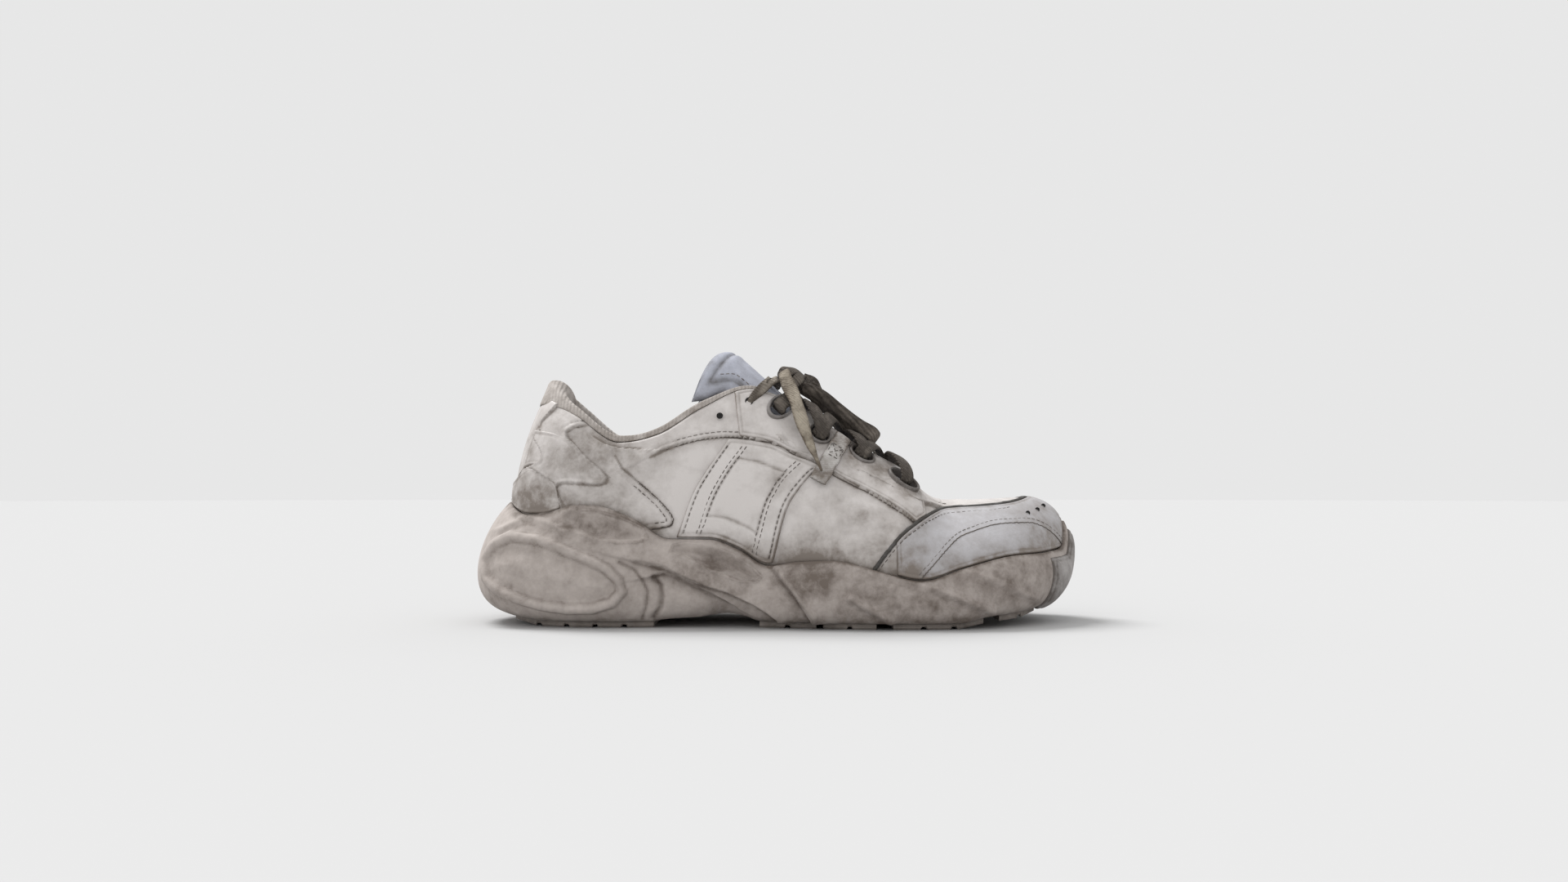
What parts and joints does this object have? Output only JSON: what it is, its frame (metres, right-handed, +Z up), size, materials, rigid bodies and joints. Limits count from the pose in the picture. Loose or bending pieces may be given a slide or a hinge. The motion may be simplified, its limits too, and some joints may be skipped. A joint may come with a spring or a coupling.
{
  "type": "running sneaker",
  "caption": "Worn low running shoe for the right foot: hollow upper with overlays, padded collar and tongue, chunky foam sole, rubber outsole pads and a tied lace.",
  "frame": {"origin": "centre of the bounding box at the floor, under the middle of the foam sole", "axes": "+X towards the toe, -Y towards the outer side of the foot, +Z up"},
  "size_m": [0.2858, 0.105, 0.128],
  "materials": {
    "foam": "matte",
    "rubber": "matte",
    "insole": "matte",
    "leather": "satin",
    "overlay": "satin",
    "guard": "satin",
    "knit": "matte",
    "tongue": "matte",
    "ring": "matte",
    "webbing": "matte",
    "lace": "matte",
    "lace_end": "matte"
  },
  "bodies": {
    "root": {"midsole": "foam", "outsole_heel": "rubber", "outsole_rear": "rubber", "outsole_middle": "rubber", "outsole_front": "rubber", "outsole_toe": "rubber", "toe_bumper": "rubber", "insole": "insole", "upper": "leather", "toe_guard": "guard", "eyestay_outer": "overlay", "eyestay_inner": "overlay", "saddle_outer": "overlay", "saddle_inner": "overlay", "heel_counter": "overlay", "heel_overlay_outer": "overlay", "heel_overlay_inner": "overlay", "collar": "knit", "tongue": "tongue", "ring_outer_a": "ring", "ring_outer_b": "ring", "ring_outer_c": "ring", "ring_outer_d": "ring", "ring_inner_a": "ring", "ring_inner_b": "ring", "ring_inner_c": "ring", "ring_inner_d": "ring", "lace_tab_outer": "webbing", "lace_tab_inner": "webbing", "lace_crossings": "lace", "lace_knot": "lace", "lace_loop_near": "lace", "lace_loop_far": "lace", "lace_end_near": "lace_end", "lace_end_far": "lace_end"}
  },
  "joints": []
}
